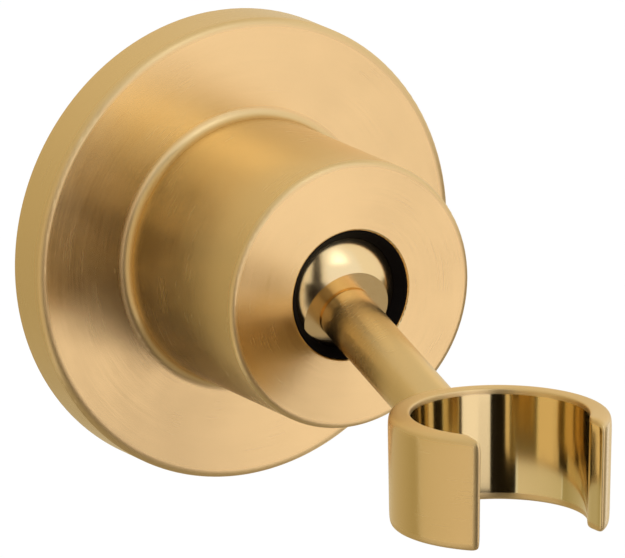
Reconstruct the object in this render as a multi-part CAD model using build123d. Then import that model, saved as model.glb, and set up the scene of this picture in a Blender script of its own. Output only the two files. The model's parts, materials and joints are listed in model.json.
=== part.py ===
from build123d import *
import math
import os

# Hand shower holder with a ball joint.
# Millimetres and degrees. The wall is the plane Y = 0, the holder stands out along -Y and +Z is up.
# Depths are measured outwards from the wall, along the barrel's axis.

# Wall plate and its screws
plate_thickness = 5.0
screw_hole_radius = 2.25
screw_head_radius = 4.5
screw_inset = 10.0  # from the plate's edge to a screw's centre
groove_depth = 1.2  # V groove in the plate's edge, for the grub screw's point

# Flange and barrel, one turned piece
flange_radius = 33.5
flange_rim = 5.4  # metal between the wall plate and the flange's edge
flange_web = 2.2  # metal in front of the wall plate
flange_edge_round = 1.0
flange_back_round = 0.3
barrel_radius = 19.3
barrel_edge_round = 0.7
root_fillet = 1.3
mouth_wall = 2.0
mouth_edge_round = 0.3

# Ball joint pack, from the back of the barrel to its mouth
retainer_inset = 2.95  # from the flange's recess to the retainer
retainer_thickness = 3.5
retainer_socket = 12.0  # hexagon, across its flats
washer_thickness = 0.8
spring_thickness = 0.8
spring_cone = 0.5
spring_bore_radius = 6.3
cup_floor = 1.6
cup_hole_radius = 4.0
ball_radius = 11.0
seat_wall = 2.4  # seat outside the ball's widest place
seat_split = 0.6  # from the ball's centre to each seat's edge
seat_mouth_radius = 7.9
seat_flare = 1.17
seat_rim = 0.15
mouth_sink = 1.67  # from the barrel's front face to the edge that holds the ball
seat_setback = 0.3

# Grub screw under the flange
grub_radius = 1.45
grub_socket = 1.5
grub_socket_depth = 2.0
grub_setback = 0.6
grub_tip_radius = 0.25

# Stem, from the ball to the clip
arm_pitch = 18.6  # below the horizontal
arm_yaw = 1.0  # to the left, seen from the front
flat_radius = 6.6  # flat on the ball, under the stem
stem_radius = 4.05
stem_chamfer = 0.25
spigot_radius = 2.5
spigot_length = 8.0
tenon_length = 1.9

# Clip, an open tapered ring with an upright axis
clip_reach = 51.9  # from the ball's centre to the clip's axis
clip_radius = 15.5  # outside, at the top
clip_wall = 3.1
clip_height = 16.0
clip_taper = 1.07
clip_mouth_angle = 100.0  # seen from the clip's axis, at its inside
clip_top_round = 0.6
clip_bottom_round = 1.2
clip_end_round = 0.3
stem_above_middle = 2.55  # the stem meets the clip above its middle height

# Clearances
plate_clearance = 0.1
plate_headroom = 0.3
pack_clearance = 0.08
spring_clearance = 0.5
seat_clearance = 0.05
mouth_clearance = 0.08
running_gap = 0.05
thread_clearance = 0.05
braze_gap = 0.05

# Depths that follow from the sizes above
recess_depth = plate_thickness + plate_headroom
flange_thickness = recess_depth + flange_web
retainer_depth = recess_depth + retainer_inset
washer_depth = retainer_depth + retainer_thickness
rear_spring_depth = washer_depth + washer_thickness
spring_height = spring_thickness + spring_cone
front_spring_depth = rear_spring_depth + spring_height
cup_depth = front_spring_depth + spring_height + running_gap
ball_depth = cup_depth + cup_floor + ball_radius
seat_radius = ball_radius + seat_clearance
seat_edge_depth = ball_depth + math.sqrt(seat_radius**2 - seat_mouth_radius**2)
barrel_reach = seat_edge_depth + mouth_sink
shoulder_depth = barrel_reach - mouth_wall
seat_front_depth = barrel_reach - seat_setback
grub_depth = plate_thickness / 2

# Radii that follow
recess_radius = flange_radius - flange_rim
plate_radius = recess_radius - plate_clearance
seat_outer_radius = ball_radius + seat_wall
pack_radius = seat_outer_radius + pack_clearance
nose_radius = seat_mouth_radius + seat_flare + seat_rim
mouth_radius = nose_radius + mouth_clearance
spring_radius = pack_radius - spring_clearance
retainer_radius = pack_radius - thread_clearance
grub_hole_radius = grub_radius + thread_clearance
socket_hole_radius = spigot_radius + running_gap
tenon_hole_radius = spigot_radius + braze_gap
clip_shrink = clip_height * math.tan(math.radians(clip_taper))
clip_half_gap = (clip_radius - clip_wall) * math.sin(math.radians(clip_mouth_angle / 2))

# Along the stem, from the ball's centre
flat_distance = math.sqrt(ball_radius**2 - flat_radius**2)
wall_run = clip_reach - clip_radius  # level distance from the ball's centre to the clip's back
wall_distance = wall_run / math.cos(math.radians(arm_pitch))
wall_height = -wall_run * math.tan(math.radians(arm_pitch))
clip_middle = wall_height - stem_above_middle
overlap = 2.0  # how far a cutting tool reaches past what it cuts


def turned(outline, rounds=()):
    # Solid turned about the Y axis: outline corners are (radius, depth), rounds are (corner, size)
    section = make_face(Polyline(*[(radius, -depth) for radius, depth in outline], close=True))
    for (radius, depth), size in rounds:
        corner = section.vertices().sort_by_distance((radius, -depth))[0]
        section = fillet(corner, size)
    return revolve(section, axis=Axis.Y)


def on_seat(angle):
    # Point of the seats' spherical face, by its angle from the barrel's axis
    turn = math.radians(angle)
    return (seat_radius * math.sin(turn), -ball_depth - seat_radius * math.cos(turn))


def turned_seat(first, last, corners):
    # Seat with a spherical face from one angle to another, closed by straight lines through the corners
    face_arc = ThreePointArc(on_seat(first), on_seat((first + last) / 2), on_seat(last))
    back = Polyline(on_seat(last), *[(radius, -depth) for radius, depth in corners], on_seat(first))
    return revolve(make_face([*face_arc.edges(), *back.edges()]), axis=Axis.Y)


def hexagon_bar(across_flats, length):
    # Hexagonal prism centred on the origin, along Z
    return extrude(RegularPolygon(across_flats / 2, 6, major_radius=False), length / 2, both=True)


def make_body():
    front_edge = (flange_radius, flange_thickness)
    root = (barrel_radius, flange_thickness)
    nose_edge = (barrel_radius, barrel_reach)
    mouth_edge = (mouth_radius, barrel_reach)
    back_edge = (flange_radius, 0)
    outline = [
        (recess_radius, 0),
        back_edge,
        front_edge,
        root,
        nose_edge,
        mouth_edge,
        (mouth_radius, shoulder_depth),
        (pack_radius, shoulder_depth),
        (pack_radius, recess_depth),
        (recess_radius, recess_depth),
    ]
    rounds = [
        (back_edge, flange_back_round),
        (front_edge, flange_edge_round),
        (root, root_fillet),
        (nose_edge, barrel_edge_round),
        (mouth_edge, mouth_edge_round),
    ]
    hole_length = flange_rim + overlap
    hole_middle = recess_radius + flange_rim / 2
    grub_hole = Pos(0, -grub_depth, -hole_middle) * Cylinder(grub_hole_radius, hole_length)
    return turned(outline, rounds) - grub_hole


def make_wall_plate():
    outline = [
        (0, 0),
        (plate_radius, 0),
        (plate_radius, grub_depth - groove_depth),
        (plate_radius - groove_depth, grub_depth),
        (plate_radius, grub_depth + groove_depth),
        (plate_radius, plate_thickness),
        (0, plate_thickness),
    ]
    countersink = screw_head_radius - screw_hole_radius
    screw_hole = turned([
        (0, -overlap),
        (screw_hole_radius, -overlap),
        (screw_hole_radius, plate_thickness - countersink),
        (screw_head_radius, plate_thickness),
        (screw_head_radius, plate_thickness + overlap),
        (0, plate_thickness + overlap),
    ])
    plate = turned(outline)
    for side in (-1, 1):
        plate -= Pos(side * (plate_radius - screw_inset), 0, 0) * screw_hole
    return plate


def make_grub_screw():
    # Turned about the radius it lies on: its point is in the plate's groove, its socket faces down
    tip = plate_radius - groove_depth + grub_tip_radius + running_gap
    cone_end = tip + grub_radius - grub_tip_radius
    end = flange_radius - grub_setback
    blank = turned([
        (0, tip),
        (grub_tip_radius, tip),
        (grub_radius, cone_end),
        (grub_radius, end),
        (0, end),
    ])
    screw = Rot(90, 0, 0) * blank
    socket = Pos(0, 0, -end) * hexagon_bar(grub_socket, 2 * grub_socket_depth)
    return Pos(0, -grub_depth, 0) * (screw - socket)


def make_front_seat():
    mouth_angle = math.degrees(math.asin(seat_mouth_radius / seat_radius))
    split_angle = math.degrees(math.acos(seat_split / seat_radius))
    return turned_seat(mouth_angle, split_angle, [
        (seat_outer_radius, ball_depth + seat_split),
        (seat_outer_radius, shoulder_depth),
        (nose_radius, shoulder_depth),
        (nose_radius, seat_front_depth),
        (nose_radius - seat_rim, seat_front_depth),
    ])


def make_rear_seat():
    split_angle = 180 - math.degrees(math.acos(seat_split / seat_radius))
    hole_angle = 180 - math.degrees(math.asin(cup_hole_radius / seat_radius))
    return turned_seat(split_angle, hole_angle, [
        (cup_hole_radius, cup_depth),
        (seat_outer_radius, cup_depth),
        (seat_outer_radius, ball_depth - seat_split),
    ])


def make_disc_spring(rim_depth, way):
    # Coned washer: its outer rim lies at rim_depth, and the cone rises from it towards its bore
    return turned([
        (spring_radius, rim_depth),
        (spring_radius, rim_depth + way * spring_thickness),
        (spring_bore_radius, rim_depth + way * spring_height),
        (spring_bore_radius, rim_depth + way * spring_cone),
    ])


def make_thrust_washer():
    return turned([
        (spring_bore_radius, washer_depth),
        (spring_radius, washer_depth),
        (spring_radius, rear_spring_depth),
        (spring_bore_radius, rear_spring_depth),
    ])


def make_retainer():
    disc = turned([
        (0, retainer_depth),
        (retainer_radius, retainer_depth),
        (retainer_radius, washer_depth),
        (0, washer_depth),
    ])
    socket = Rot(90, 0, 0) * hexagon_bar(retainer_socket, 2 * washer_depth + overlap)
    return disc - socket


def make_ball():
    # Ball with its flat towards -Y and a tapped hole for the stem, about its own centre
    hole_end = flat_distance - spigot_length - running_gap
    flat_edge = (flat_radius, -flat_distance)
    face_arc = ThreePointArc(flat_edge, (ball_radius, 0), (0, ball_radius))
    rest = Polyline(
        (0, ball_radius),
        (0, -hole_end),
        (socket_hole_radius, -hole_end),
        (socket_hole_radius, -flat_distance),
        flat_edge,
    )
    return revolve(make_face([*face_arc.edges(), *rest.edges()]), axis=Axis.Y)


def clip_cone(inset, reach):
    # Full tapered plug of the clip's outside, made smaller by inset and longer by reach at both ends
    slope = math.tan(math.radians(clip_taper))
    top_radius = clip_radius - inset + reach * slope
    bottom_radius = clip_radius - inset - clip_shrink - reach * slope
    plug = Cone(bottom_radius, top_radius, clip_height + 2 * reach)
    return Pos(0, -clip_reach, clip_middle) * plug


def make_stem():
    # Along -Y from the ball's centre before it is pitched, coped to the clip's outside
    start = flat_distance + running_gap
    rod_end = wall_distance + clip_radius
    spigot_start = flat_distance - spigot_length
    rod = turned([
        (0, start),
        (stem_radius - stem_chamfer, start),
        (stem_radius, start + stem_chamfer),
        (stem_radius, rod_end),
        (0, rod_end),
    ])
    spigot = turned([
        (0, spigot_start),
        (spigot_radius, spigot_start),
        (spigot_radius, wall_distance + tenon_length),
        (0, wall_distance + tenon_length),
    ])
    pitch = Rot(arm_pitch, 0, 0)
    return (pitch * rod - clip_cone(-braze_gap, clip_height)) + pitch * spigot


def make_clip():
    ring = clip_cone(0, 0) - clip_cone(clip_wall, overlap)
    for rim, size in ((-1, clip_top_round), (0, clip_bottom_round)):
        ring = fillet(ring.edges().filter_by(GeomType.CIRCLE).group_by(Axis.Z)[rim], size)
    gap_depth = clip_radius + overlap
    gap_box = Box(2 * clip_half_gap, gap_depth, clip_height + 2 * overlap)
    clip = ring - Pos(0, -clip_reach - gap_depth / 2, clip_middle) * gap_box
    clip = fillet(clip.faces().filter_by(Axis.X).edges(), clip_end_round)
    tenon_hole_end = wall_distance + tenon_length + braze_gap
    tenon_hole = turned([
        (0, flat_distance),
        (tenon_hole_radius, flat_distance),
        (tenon_hole_radius, tenon_hole_end),
        (0, tenon_hole_end),
    ])
    return clip - Rot(arm_pitch, 0, 0) * tenon_hole


# The arm's frame has its origin at the ball's centre and turns with the arm's yaw
arm_frame = Pos(0, -ball_depth, 0) * Rot(0, 0, -arm_yaw)

nodes = {
    "body": make_body(),
    "wall_plate": make_wall_plate(),
    "grub_screw": make_grub_screw(),
    "front_seat": make_front_seat(),
    "rear_seat": make_rear_seat(),
    "front_disc_spring": make_disc_spring(front_spring_depth, 1),
    "rear_disc_spring": make_disc_spring(front_spring_depth, -1),
    "thrust_washer": make_thrust_washer(),
    "retainer": make_retainer(),
    "swivel_ball": arm_frame * Rot(arm_pitch, 0, 0) * make_ball(),
    "stem": arm_frame * make_stem(),
    "clip": arm_frame * make_clip(),
}

os.makedirs("parts", exist_ok=True)
for name, solid in nodes.items():
    export_step(solid, f"parts/{name}.step")

print("flange thickness", round(flange_thickness, 3), "barrel reach", round(barrel_reach, 3))
print("ball depth", round(ball_depth, 3), "mouth radius", round(mouth_radius, 3))
print("screw spacing", round(2 * (plate_radius - screw_inset), 3), "clip middle", round(clip_middle, 3))
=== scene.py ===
import bpy
import json
import math
from mathutils import Euler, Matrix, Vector


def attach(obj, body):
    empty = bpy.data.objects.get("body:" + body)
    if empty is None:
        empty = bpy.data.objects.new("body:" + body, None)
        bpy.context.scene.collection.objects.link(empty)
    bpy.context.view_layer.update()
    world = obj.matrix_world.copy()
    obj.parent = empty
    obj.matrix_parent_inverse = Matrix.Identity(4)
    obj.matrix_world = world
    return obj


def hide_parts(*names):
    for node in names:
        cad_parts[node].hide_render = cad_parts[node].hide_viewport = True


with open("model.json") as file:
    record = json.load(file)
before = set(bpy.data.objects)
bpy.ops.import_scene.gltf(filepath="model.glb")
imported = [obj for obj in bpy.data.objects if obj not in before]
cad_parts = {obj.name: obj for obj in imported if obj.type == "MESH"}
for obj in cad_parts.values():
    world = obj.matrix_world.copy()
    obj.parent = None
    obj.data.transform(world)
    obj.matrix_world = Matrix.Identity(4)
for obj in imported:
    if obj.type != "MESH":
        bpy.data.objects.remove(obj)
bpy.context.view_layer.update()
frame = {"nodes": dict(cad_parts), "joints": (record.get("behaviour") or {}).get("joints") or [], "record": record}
print("frame loaded:", len(frame["nodes"]), "nodes")

mm = 0.001  # the scene is in metres
noiseLow, noiseHigh = 0.3, 0.7  # nearly all of a noise's values lie between these


def linear(hexColour):
    # sRGB hex to the linear colour that a shader takes
    parts = [int(hexColour[i:i + 2], 16) / 255 for i in (1, 3, 5)]
    return tuple(c / 12.92 if c <= 0.04045 else ((c + 0.055) / 1.055) ** 2.4 for c in parts) + (1.0,)


def addNode(tree, kind, settings=None, inputs=None):
    # one node, its settings, and values or links for its inputs
    node = tree.nodes.new(kind)
    for name, value in (settings or {}).items():
        setattr(node, name, value)
    for name, value in (inputs or {}).items():
        if isinstance(value, bpy.types.NodeSocket):
            tree.links.new(value, node.inputs[name])
        else:
            node.inputs[name].default_value = value
    return node


def newMaterial(name):
    material = bpy.data.materials.new(name)
    material.use_nodes = True
    material.node_tree.nodes.clear()
    return material, material.node_tree


# where each turned piece has its axis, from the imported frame
armSpin = next(j for j in frame["joints"] if j["name"] == "clip_spin")
clipSeat = next(m for m in frame["record"]["mounts"] if m["name"] == "clip_seat")
stemWay = Vector(armSpin["axis"]).normalized()
clipFront = Vector((stemWay.x, stemWay.y, 0)).normalized()
grubDepth = 2.5  # mm from the wall
axes = {
    # a point on the axis, the way along it, and one way square to it
    "barrel": (Vector((0, 0, 0)), Vector((0, -1, 0)), Vector((1, 0, 0))),
    "stem": (Vector(armSpin["pos_m"]), stemWay, stemWay.cross(Vector((0, 0, 1))).normalized()),
    "clip": (Vector(clipSeat["pos_m"]), Vector((0, 0, 1)), clipFront),
    "grubScrew": (Vector((0, -grubDepth * mm, 0)), Vector((0, 0, -1)), Vector((1, 0, 0))),
}


def addBrushing(tree, s, axis):
    # fine lines that run round the axis and fade in and out along their arcs
    point, way, side = axis
    where = addNode(tree, "ShaderNodeTexCoord")
    fromAxis = addNode(tree, "ShaderNodeVectorMath", {"operation": "SUBTRACT"},
                       {0: where.outputs["Object"], 1: point})
    along, first, second = [
        addNode(tree, "ShaderNodeVectorMath", {"operation": "DOT_PRODUCT"},
                {0: fromAxis.outputs[0], 1: direction}).outputs["Value"]
        for direction in (way, side, way.cross(side))]
    outward = addNode(tree, "ShaderNodeCombineXYZ", None, {0: first, 1: second})
    radius = addNode(tree, "ShaderNodeVectorMath", {"operation": "LENGTH"}, {0: outward.outputs[0]})
    turn = addNode(tree, "ShaderNodeVectorMath", {"operation": "NORMALIZE"}, {0: outward.outputs[0]})
    arc = addNode(tree, "ShaderNodeVectorMath", {"operation": "SCALE"},
                  {0: turn.outputs[0], "Scale": 1 / math.radians(s["arcLength"])})
    ringRadius, ringDepth = [
        addNode(tree, "ShaderNodeMath", {"operation": "DIVIDE"}, {0: length, 1: s["lineWidth"] * mm}).outputs[0]
        for length in (radius.outputs["Value"], along)]
    ringLift = addNode(tree, "ShaderNodeCombineXYZ", None, {2: ringRadius})
    place = addNode(tree, "ShaderNodeVectorMath", {"operation": "ADD"},
                    {0: arc.outputs[0], 1: ringLift.outputs[0]})
    lines = addNode(tree, "ShaderNodeTexNoise", {"noise_dimensions": "4D"},
                    {"Vector": place.outputs[0], "W": ringDepth, "Scale": 1.0, "Detail": 2.0})
    clouds = addNode(tree, "ShaderNodeTexNoise", None,
                     {"Vector": where.outputs["Object"], "Scale": 1 / (s["cloudWidth"] * mm), "Detail": 2.0})
    lineRough = addNode(tree, "ShaderNodeMapRange", None,
                        {0: lines.outputs[0], 1: noiseLow, 2: noiseHigh,
                         3: s["roughness"] - s["lineSpread"], 4: s["roughness"] + s["lineSpread"]})
    cloudRough = addNode(tree, "ShaderNodeMapRange", None,
                         {0: clouds.outputs[0], 1: noiseLow, 2: noiseHigh,
                          3: -s["cloudSpread"], 4: s["cloudSpread"]})
    rough = addNode(tree, "ShaderNodeMath", {"operation": "ADD"},
                    {0: lineRough.outputs[0], 1: cloudRough.outputs[0]})
    around = addNode(tree, "ShaderNodeVectorMath", {"operation": "CROSS_PRODUCT"},
                     {0: way, 1: fromAxis.outputs[0]})
    aroundWorld = addNode(tree, "ShaderNodeVectorTransform",
                          {"vector_type": "VECTOR", "convert_from": "OBJECT", "convert_to": "WORLD"},
                          {0: around.outputs[0]})
    surface = addNode(tree, "ShaderNodeNewGeometry")
    across = addNode(tree, "ShaderNodeVectorMath", {"operation": "CROSS_PRODUCT"},
                     {0: surface.outputs["Normal"], 1: aroundWorld.outputs[0]})
    return {"along": along, "radius": radius.outputs["Value"], "first": first, "second": second,
            "lines": lines.outputs[0], "rough": rough.outputs[0], "across": across.outputs[0]}


def finishMetal(tree, s, brush, colour, rough, strength):
    # the metal itself: its lines as a fine bump, its gloss drawn out across them
    bump = addNode(tree, "ShaderNodeBump", None,
                   {"Strength": strength, "Distance": s["lineDepth"] * mm, "Height": brush["lines"]})
    shader = addNode(tree, "ShaderNodeBsdfPrincipled", None,
                     {"Base Color": colour, "Metallic": 1.0, "Roughness": rough,
                      "Anisotropic": s["anisotropy"], "Tangent": brush["across"], "Normal": bump.outputs[0]})
    addNode(tree, "ShaderNodeOutputMaterial", None, {"Surface": shader.outputs[0]})


# satin brass: turned, then brushed in rings, so light spreads across the rings in soft fans
satinBrass = {
    "colour": "#E0C28A",
    "roughness": 0.235,
    "lineWidth": 0.16,  # brush lines in mm, drawn a little coarser than real so that they show
    "lineSpread": 0.03,
    "lineDepth": 0.0012,
    "lineStrength": 0.15,
    "arcLength": 25.0,  # degrees
    "cloudWidth": 7.0,  # mm, slow change of the brushing from place to place
    "cloudSpread": 0.025,
    "anisotropy": 0.72,
    "edgeRoughness": 0.42,  # edges are rubbed duller by the brush
}
# the stem is rolled smoother than the body
stemBrush = dict(satinBrass, roughness=0.23, lineStrength=0.06)
bodyEdges = {
    "starts": [(32.5, 6.5), (18.6, 36.5)],  # radius and depth of the flange's and the barrel's edge rounds
    "blend": 0.3,
}
bodyRoot = {"radius": 20.9, "depth": 9.0, "blend": 0.4, "roughness": 0.35}  # fillet between flange and barrel


def makeBodyBrass(s, edges, root):
    material, tree = newMaterial("satinBrassBody")
    brush = addBrushing(tree, s, axes["barrel"])
    rough = brush["rough"]
    blend = edges["blend"]
    for edgeRadius, edgeDepth in edges["starts"]:
        outside = addNode(tree, "ShaderNodeMapRange", None,
                          {0: brush["radius"], 1: (edgeRadius - blend) * mm, 2: (edgeRadius + blend) * mm})
        front = addNode(tree, "ShaderNodeMapRange", None,
                        {0: brush["along"], 1: (edgeDepth - blend) * mm, 2: (edgeDepth + blend) * mm})
        onEdge = addNode(tree, "ShaderNodeMath", {"operation": "MULTIPLY"},
                         {0: outside.outputs[0], 1: front.outputs[0]})
        rough = addNode(tree, "ShaderNodeMapRange", None,
                        {0: onEdge.outputs[0], 3: rough, 4: s["edgeRoughness"]}).outputs[0]
    near = addNode(tree, "ShaderNodeMapRange", None,
                   {0: brush["radius"], 1: root["radius"] * mm, 2: (root["radius"] - root["blend"]) * mm})
    low = addNode(tree, "ShaderNodeMapRange", None,
                  {0: brush["along"], 1: root["depth"] * mm, 2: (root["depth"] - root["blend"]) * mm})
    atRoot = addNode(tree, "ShaderNodeMath", {"operation": "MULTIPLY"}, {0: near.outputs[0], 1: low.outputs[0]})
    rough = addNode(tree, "ShaderNodeMapRange", None,
                    {0: atRoot.outputs[0], 3: rough, 4: root["roughness"]}).outputs[0]
    finishMetal(tree, s, brush, linear(s["colour"]), rough, s["lineStrength"])
    return material


# clip: an open tapered ring with soft rims and rounded ends, in mm
clipShape = {
    "radius": 15.5,  # outside, at the top
    "wall": 3.1,
    "height": 16.0,
    "taper": 1.07,  # degrees
    "halfGap": {"inner": 9.6, "outer": 9.4},  # the ends close in a little towards the front
    "cells": 3,  # each way across the bar that becomes the ring
    "steps": 40,  # along the ring, from end to end
    "smoothing": 3,
    # from each rim's edge to its holding line; the round comes out at a bit more than half of it
    "topHold": {"inner": 0.7, "outer": 2.1},
    "bottomHold": {"inner": 1.2, "outer": 1.7},
    # start and end are along the stem, from the ball's centre
    "stemHole": {"radius": 2.55, "start": 30.0, "end": 40.35, "sides": 64},
    "sharpAngle": 40.0,  # degrees, only the hole's edges stay sharp
}
# it is brushed outside, dull on its rounds, and polished inside and on its two ends
clipPolish = {
    "colour": "#DCC792",
    "roughness": 0.12,
    "lineStrength": 0.03,
    "start": 0.02,  # past the inside face
    "blend": 0.25,
    "endBlend": 0.2,
    "endRound": 1.0,  # how far the ends' rounds reach past the flat ends
    "topRound": 0.6,
    "bottomRound": 1.2,
    "roundBlend": 0.3,
}


def makeClipBrass(s, p, shape):
    material, tree = newMaterial("satinBrassClip")
    brush = addBrushing(tree, s, axes["clip"])
    inside = shape["radius"] - shape["wall"] + p["start"]
    halfGap = shape["halfGap"]["inner"]
    endReach = halfGap + p["endRound"]
    bottomStart = shape["height"] - p["bottomRound"]
    taper = addNode(tree, "ShaderNodeMath", {"operation": "MULTIPLY"},
                    {0: brush["along"], 1: math.tan(math.radians(shape["taper"]))})
    level = addNode(tree, "ShaderNodeMath", {"operation": "SUBTRACT"}, {0: brush["radius"], 1: taper.outputs[0]})
    notInside = addNode(tree, "ShaderNodeMapRange", None,
                        {0: level.outputs[0], 1: inside * mm, 2: (inside + p["blend"]) * mm})
    fromMiddle = addNode(tree, "ShaderNodeMath", {"operation": "ABSOLUTE"}, {0: brush["second"]})
    nearEnd = addNode(tree, "ShaderNodeMapRange", None,
                      {0: fromMiddle.outputs[0], 1: halfGap * mm, 2: (halfGap + p["endBlend"]) * mm})
    atBack = addNode(tree, "ShaderNodeMath", {"operation": "LESS_THAN"}, {0: brush["first"], 1: 0.0})
    notEnd = addNode(tree, "ShaderNodeMath", {"operation": "MAXIMUM"},
                     {0: nearEnd.outputs[0], 1: atBack.outputs[0]})
    sides = addNode(tree, "ShaderNodeMath", {"operation": "MINIMUM"},
                    {0: notInside.outputs[0], 1: notEnd.outputs[0]})
    onTop = addNode(tree, "ShaderNodeMapRange", None,
                    {0: brush["along"], 1: -(p["topRound"] + p["roundBlend"]) * mm, 2: -p["topRound"] * mm})
    onBottom = addNode(tree, "ShaderNodeMapRange", None,
                       {0: brush["along"], 1: -bottomStart * mm, 2: -(bottomStart + p["roundBlend"]) * mm})
    flatRims = addNode(tree, "ShaderNodeMath", {"operation": "MAXIMUM"},
                       {0: onTop.outputs[0], 1: onBottom.outputs[0]})
    byEnd = addNode(tree, "ShaderNodeMapRange", None,
                    {0: fromMiddle.outputs[0], 1: endReach * mm, 2: (endReach - p["roundBlend"]) * mm})
    byFront = addNode(tree, "ShaderNodeMath", {"operation": "SUBTRACT"},
                      {0: byEnd.outputs[0], 1: atBack.outputs[0]})
    endRims = addNode(tree, "ShaderNodeMath", {"operation": "MINIMUM"},
                      {0: sides.outputs[0], 1: byFront.outputs[0]})
    rims = addNode(tree, "ShaderNodeMath", {"operation": "MAXIMUM"},
                   {0: flatRims.outputs[0], 1: endRims.outputs[0]})
    satin = addNode(tree, "ShaderNodeMath", {"operation": "MAXIMUM"}, {0: sides.outputs[0], 1: rims.outputs[0]})
    faces = addNode(tree, "ShaderNodeMapRange", None,
                    {0: satin.outputs[0], 3: p["roughness"], 4: brush["rough"]})
    rough = addNode(tree, "ShaderNodeMapRange", None,
                    {0: rims.outputs[0], 3: faces.outputs[0], 4: s["edgeRoughness"]})
    strength = addNode(tree, "ShaderNodeMapRange", None,
                       {0: satin.outputs[0], 3: p["lineStrength"], 4: s["lineStrength"]})
    colour = addNode(tree, "ShaderNodeMix", {"data_type": "RGBA"},
                     {0: satin.outputs[0], 6: linear(p["colour"]), 7: linear(s["colour"])})
    finishMetal(tree, s, brush, colour.outputs[2], rough.outputs[0], strength.outputs[0])
    return material


# polished brass: a soft mirror with a faint warm haze
polishedBrass = {
    "colour": "#EBCC96",
    "roughness": 0.19,
    "hazeWidth": 1.5,  # mm
    "hazeSpread": 0.02,
}


def makePolishedBrass(s):
    material, tree = newMaterial("polishedBrass")
    where = addNode(tree, "ShaderNodeTexCoord")
    haze = addNode(tree, "ShaderNodeTexNoise", None,
                   {"Vector": where.outputs["Object"], "Scale": 1 / (s["hazeWidth"] * mm), "Detail": 3.0})
    rough = addNode(tree, "ShaderNodeMapRange", None,
                    {0: haze.outputs[0], 1: noiseLow, 2: noiseHigh,
                     3: s["roughness"] - s["hazeSpread"], 4: s["roughness"] + s["hazeSpread"]})
    shader = addNode(tree, "ShaderNodeBsdfPrincipled", None,
                     {"Base Color": linear(s["colour"]), "Metallic": 1.0, "Roughness": rough.outputs[0]})
    addNode(tree, "ShaderNodeOutputMaterial", None, {"Surface": shader.outputs[0]})
    return material


# plain brass, turned and left bare: yellower and duller than the plated faces, with open tool marks
plainBrass = {
    "colour": "#D8B878",
    "roughness": 0.34,
    "lineWidth": 0.3,  # tool marks in mm
    "lineSpread": 0.08,
    "lineDepth": 0.004,
    "lineStrength": 0.3,
    "arcLength": 120.0,
    "cloudWidth": 4.0,
    "cloudSpread": 0.05,
    "anisotropy": 0.5,
}
# stainless steel, turned: neutral grey with rings that catch the light
stainless = {
    "colour": "#C6C5C1",
    "roughness": 0.30,
    "lineWidth": 0.6,  # tool marks in mm, drawn coarser than real so that they show
    "lineSpread": 0.1,
    "lineDepth": 0.01,
    "lineStrength": 0.3,
    "arcLength": 120.0,
    "cloudWidth": 6.0,
    "cloudSpread": 0.04,
    "anisotropy": 0.5,
}


def makeTurnedMetal(name, s, axis):
    material, tree = newMaterial(name)
    brush = addBrushing(tree, s, axis)
    finishMetal(tree, s, brush, linear(s["colour"]), brush["rough"], s["lineStrength"])
    return material


# black acetal, moulded: deep black with a dull, slightly grainy sheen
blackAcetal = {
    "colour": "#060302",
    "roughness": 0.7,
    "roughnessSpread": 0.1,
    "gloss": 0.08,
    "grainWidth": 0.25,  # mm
    "grainDepth": 0.01,
    "grainStrength": 0.2,
}


def makeAcetal(s):
    material, tree = newMaterial("blackAcetal")
    where = addNode(tree, "ShaderNodeTexCoord")
    grain = addNode(tree, "ShaderNodeTexNoise", None,
                    {"Vector": where.outputs["Object"], "Scale": 1 / (s["grainWidth"] * mm), "Detail": 2.0})
    rough = addNode(tree, "ShaderNodeMapRange", None,
                    {0: grain.outputs[0], 1: noiseLow, 2: noiseHigh,
                     3: s["roughness"] - s["roughnessSpread"], 4: s["roughness"] + s["roughnessSpread"]})
    bump = addNode(tree, "ShaderNodeBump", None,
                   {"Strength": s["grainStrength"], "Distance": s["grainDepth"] * mm, "Height": grain.outputs[0]})
    shader = addNode(tree, "ShaderNodeBsdfPrincipled", None,
                     {"Base Color": linear(s["colour"]), "Roughness": rough.outputs[0],
                      "Specular IOR Level": s["gloss"], "Normal": bump.outputs[0]})
    addNode(tree, "ShaderNodeOutputMaterial", None, {"Surface": shader.outputs[0]})
    return material


clipBrass = makeClipBrass(satinBrass, clipPolish, clipShape)
turnedSteel = makeTurnedMetal("stainlessSteel", stainless, axes["barrel"])
acetal = makeAcetal(blackAcetal)
finishes = {
    "body": makeBodyBrass(satinBrass, bodyEdges, bodyRoot),
    "wall_plate": turnedSteel,
    "grub_screw": makeTurnedMetal("stainlessSteelScrew", stainless, axes["grubScrew"]),
    "front_seat": acetal,
    "rear_seat": acetal,
    "front_disc_spring": turnedSteel,
    "rear_disc_spring": turnedSteel,
    "thrust_washer": turnedSteel,
    "retainer": makeTurnedMetal("plainBrass", plainBrass, axes["barrel"]),
    "swivel_ball": makePolishedBrass(polishedBrass),
    "stem": makeTurnedMetal("satinBrassStem", stemBrush, axes["stem"]),
    "clip": clipBrass,
}
for node, material in finishes.items():
    frame["nodes"][node].material_slots[0].material = material
print("materials set")


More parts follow.
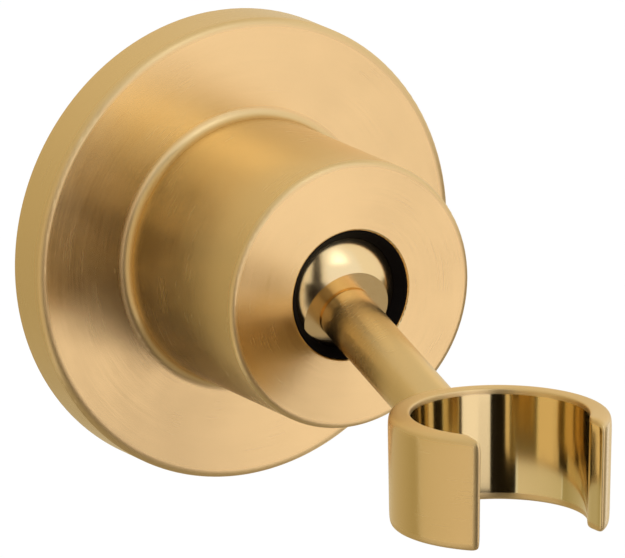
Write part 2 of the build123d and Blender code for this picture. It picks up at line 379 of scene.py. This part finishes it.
def clipPoint(s, column, row, step):
    # where a point of the straight bar goes: column across the wall, row down it, step round the ring
    top, up, front = axes["clip"]
    hold = s["topHold"] if row < 2 else s["bottomHold"]
    across = (0.0, hold["inner"], s["wall"] - hold["outer"], s["wall"])[column]
    edge = hold["inner"] if column < 2 else hold["outer"]
    depth = (0.0, edge, s["height"] - edge, s["height"])[row]
    radius = s["radius"] - s["wall"] + across - depth * math.tan(math.radians(s["taper"]))
    gap = s["halfGap"]["inner"] + (s["halfGap"]["outer"] - s["halfGap"]["inner"]) * across / s["wall"]
    stepTurn = 2 * (math.pi - math.asin(gap / radius)) / s["steps"]
    radius *= 3 / (2 + math.cos(stepTurn))  # the smoothing draws a ring in by this much
    endTurn = math.asin(gap / radius)
    turn = endTurn + 2 * (math.pi - endTurn) * step / s["steps"]
    sideways = up.cross(front)
    return top + (front * math.cos(turn) + sideways * math.sin(turn)) * radius * mm - up * depth * mm


def makeClip(s, material):
    bpy.ops.object.select_all(action="DESELECT")
    bpy.ops.mesh.primitive_grid_add(x_subdivisions=s["cells"], y_subdivisions=s["cells"], size=s["cells"])
    clip = bpy.context.object
    clip.name = "softClip"
    bpy.ops.object.mode_set(mode="EDIT")
    bpy.ops.mesh.select_all(action="SELECT")
    for step in range(s["steps"]):
        bpy.ops.mesh.extrude_region_move(TRANSFORM_OT_translate={"value": (0, 0, 1)})
    bpy.ops.object.mode_set(mode="OBJECT")
    half = s["cells"] / 2
    for corner in clip.data.vertices:
        corner.co = clipPoint(s, round(corner.co.x + half), round(corner.co.y + half), round(corner.co.z))
    bpy.ops.object.mode_set(mode="EDIT")
    bpy.ops.mesh.select_all(action="SELECT")
    bpy.ops.mesh.normals_make_consistent(inside=False)
    bpy.ops.object.mode_set(mode="OBJECT")
    bpy.ops.object.modifier_add(type="SUBSURF")
    smoothing = clip.modifiers[-1]
    smoothing.levels = smoothing.render_levels = s["smoothing"]
    bpy.ops.object.modifier_apply(modifier=smoothing.name)

    # blind hole for the stem's tenon
    hole = s["stemHole"]
    ballCentre, way, _ = axes["stem"]
    bpy.ops.object.select_all(action="DESELECT")
    bpy.ops.mesh.primitive_cylinder_add(
        vertices=hole["sides"], radius=hole["radius"] * mm, depth=(hole["end"] - hole["start"]) * mm,
        location=ballCentre + way * (hole["start"] + hole["end"]) / 2 * mm,
        rotation=way.to_track_quat("Z", "Y").to_euler())
    drill = bpy.context.object
    bpy.ops.object.select_all(action="DESELECT")
    bpy.context.view_layer.objects.active = clip
    clip.select_set(True)
    bpy.ops.object.modifier_add(type="BOOLEAN")
    drilled = clip.modifiers[-1]
    drilled.operation = "DIFFERENCE"
    drilled.object = drill
    bpy.ops.object.modifier_apply(modifier=drilled.name)
    bpy.data.objects.remove(drill)
    bpy.ops.object.shade_smooth_by_angle(angle=math.radians(s["sharpAngle"]))
    clip.data.materials.clear()
    clip.data.materials.append(material)
    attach(clip, "arm")
    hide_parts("clip")
    return clip


softClip = makeClip(clipShape, clipBrass)
print("clip modelled:", len(softClip.data.polygons), "faces")

# floor and cards round the holder: bright panels in front, dark strips at the camera and low down, warm sides
studio = {
    "airColour": "#FFFFFF",
    "floorHeight": -0.5,
    "floorSize": 8.0,
    "floorColour": "#F2F2F2",
    "floorLift": 0.12,
    # standing cards: feet from left to right as the holder sees them, bottom, top, low and high colour, strength
    "standing": {
        "panelCard": ((0.50, -0.55), (-0.17, -0.60), -0.50, 0.12, "#FFF6FB", "#FFF6FB", 1.22),
        "skyCard": ((0.50, -0.55), (-0.17, -0.60), 0.12, 0.75, "#E9F0FF", "#E9F0FF", 1.25),
        "dimCard": ((-0.02, -0.52), (-0.42, -0.42), -0.50, -0.14, "#1A140C", "#1A140C", 1.0),
        "slitCard": ((-0.157, -0.548), (-0.41, -0.396), -0.50, 0.10, "#1A140C", "#1A140C", 1.0),
        "gapCard": ((-0.215, -0.53), (-0.35, -0.46), 0.10, 0.90, "#1A140C", "#1A140C", 1.0),
        "footCard": ((0.26, -0.46), (-0.38, -0.37), -0.50, -0.20, "#2A2216", "#2A2216", 1.0),
        "leftCard": ((-0.44, -0.39), (-0.62, 0.30), -0.50, 0.60, "#EDE0CC", "#D4C9A8", 1.0),
        "backCard": ((-0.66, 0.34), (0.75, 0.40), -0.50, 0.60, "#B9AD86", "#FFF3DA", 1.0),
        "rightCard": ((0.60, 0.15), (0.44, -0.44), -0.50, -0.04, "#7F7763", "#7F7763", 1.0),
    },
    "cardFade": 0.6,  # how far from a card's middle, along its diagonal, the low colour turns into the high one
    # level cards: centre, size, colour
    "level": {
        "topCard": ((-0.10, 0.45, 0.75), 1.6, "#E8E2D3"),
        "lowCard": ((0.0, -0.05, -0.42), 0.7, "#A89F8C"),
    },
    "keyCard": {
        "centre": (0.10, -0.59, 0.38),
        "size": 0.46,
        "tall": 1.5,
        "colour": "#EDF3FF",
        "middle": 2.7,  # strength, fading to that of the edge
        "edge": 1.18,
        "spread": 0.62,
    },
}


def addPlane(name, size, centre):
    bpy.ops.object.select_all(action="DESELECT")
    bpy.ops.mesh.primitive_plane_add(size=size, location=centre)
    plane = bpy.context.object
    plane.name = name
    material, tree = newMaterial(name)
    plane.data.materials.append(material)
    return plane, tree


def lightCard(card, tree, colour, strength):
    # the card glows, and only reflections show it
    glow = addNode(tree, "ShaderNodeEmission", None, {"Color": colour, "Strength": strength})
    addNode(tree, "ShaderNodeOutputMaterial", None, {"Surface": glow.outputs[0]})
    card.visible_camera = False
    card.visible_diffuse = False
    card.visible_shadow = False


def makeStandingCard(name, fade, footA, footB, bottom, top, lowColour, highColour, strength):
    across = Vector((footB[0] - footA[0], footB[1] - footA[1], 0))
    centre = ((footA[0] + footB[0]) / 2, (footA[1] + footB[1]) / 2, (bottom + top) / 2)
    card, tree = addPlane(name, 1.0, centre)
    card.rotation_euler = (math.radians(90), 0, math.atan2(across.y, across.x))
    card.scale = (across.length, top - bottom, 1.0)
    where = addNode(tree, "ShaderNodeTexCoord")
    split = addNode(tree, "ShaderNodeSeparateXYZ", None, {0: where.outputs["Object"]})
    diagonal = addNode(tree, "ShaderNodeMath", {"operation": "ADD"}, {0: split.outputs[0], 1: split.outputs[1]})
    share = addNode(tree, "ShaderNodeMapRange", None, {0: diagonal.outputs[0], 1: -fade, 2: fade})
    colour = addNode(tree, "ShaderNodeMix", {"data_type": "RGBA"},
                     {0: share.outputs[0], 6: linear(lowColour), 7: linear(highColour)})
    lightCard(card, tree, colour.outputs[2], strength)


def makeLevelCard(name, centre, size, colour):
    card, tree = addPlane(name, size, centre)
    lightCard(card, tree, linear(colour), 1.0)


def makeKeyCard(s):
    card, tree = addPlane("keyCard", s["size"], s["centre"])
    card.rotation_euler = Vector(s["centre"]).to_track_quat("Z", "Y").to_euler()
    card.scale = (1.0, s["tall"], 1.0)
    where = addNode(tree, "ShaderNodeTexCoord")
    out = addNode(tree, "ShaderNodeVectorMath", {"operation": "LENGTH"}, {0: where.outputs["Object"]})
    fade = addNode(tree, "ShaderNodeMapRange", {"interpolation_type": "SMOOTHERSTEP"},
                   {0: out.outputs["Value"], 1: 0.0, 2: s["size"] * s["spread"], 3: s["middle"], 4: s["edge"]})
    lightCard(card, tree, linear(s["colour"]), fade.outputs[0])


def makeFloor(s):
    floor, tree = addPlane("floor", s["floorSize"], (0, 0, s["floorHeight"]))
    matt = addNode(tree, "ShaderNodeBsdfDiffuse", None, {"Color": linear(s["floorColour"])})
    # a little lighter to the eye and in reflections
    rays = addNode(tree, "ShaderNodeLightPath")
    cameraOrGlossy = addNode(tree, "ShaderNodeMath", {"operation": "MAXIMUM"},
                             {0: rays.outputs["Is Camera Ray"], 1: rays.outputs["Is Glossy Ray"]})
    seen = addNode(tree, "ShaderNodeMath", {"operation": "MAXIMUM"},
                   {0: cameraOrGlossy.outputs[0], 1: rays.outputs["Is Transmission Ray"]})
    lift = addNode(tree, "ShaderNodeMath", {"operation": "MULTIPLY"}, {0: seen.outputs[0], 1: s["floorLift"]})
    glow = addNode(tree, "ShaderNodeEmission", None, {"Strength": lift.outputs[0]})
    both = addNode(tree, "ShaderNodeAddShader", None, {0: matt.outputs[0], 1: glow.outputs[0]})
    # clear from below, so that the underside can be seen
    clear = addNode(tree, "ShaderNodeBsdfTransparent")
    side = addNode(tree, "ShaderNodeNewGeometry")
    oneSided = addNode(tree, "ShaderNodeMixShader", None,
                       {0: side.outputs["Backfacing"], 1: both.outputs[0], 2: clear.outputs[0]})
    addNode(tree, "ShaderNodeOutputMaterial", None, {"Surface": oneSided.outputs[0]})


def makeWorld(s):
    world = bpy.data.worlds.new("studio")
    bpy.context.scene.world = world
    world.use_nodes = True
    tree = world.node_tree
    tree.nodes.clear()
    air = addNode(tree, "ShaderNodeBackground", None, {"Color": linear(s["airColour"]), "Strength": 1.0})
    addNode(tree, "ShaderNodeOutputWorld", None, {"Surface": air.outputs[0]})


makeFloor(studio)
for name, card in studio["standing"].items():
    makeStandingCard(name, studio["cardFade"], *card)
for name, card in studio["level"].items():
    makeLevelCard(name, *card)
makeKeyCard(studio["keyCard"])
makeWorld(studio)
print("studio set")

# camera at the photograph's place
cameraSet = {
    "azimuth": -29.59,
    "elevation": 14.49,
    "distance": 1.9376,
    "farEnd": 20.0,
    "sensor": 36.0,
    "lens": 782.4,
    "aimRight": 0.01319,  # the picture's middle, off the wall plate's centre
    "aimDown": 0.00591,
}


def makeCamera(s):
    data = bpy.data.cameras.new("camera")
    data.sensor_width = s["sensor"]
    data.lens = s["lens"]
    data.clip_end = s["farEnd"]
    camera = bpy.data.objects.new("camera", data)
    bpy.context.scene.collection.objects.link(camera)
    turn = Euler((math.radians(90 - s["elevation"]), 0, math.radians(s["azimuth"]))).to_matrix()
    aim = Euler((-math.atan(s["aimDown"] / s["distance"]), -math.atan(s["aimRight"] / s["distance"]), 0))
    camera.location = turn @ Vector((0, 0, s["distance"]))
    camera.rotation_euler = (turn @ aim.to_matrix()).to_euler()
    bpy.context.scene.camera = camera


makeCamera(cameraSet)
bpy.context.scene.view_settings.view_transform = "Standard"
print("camera set")
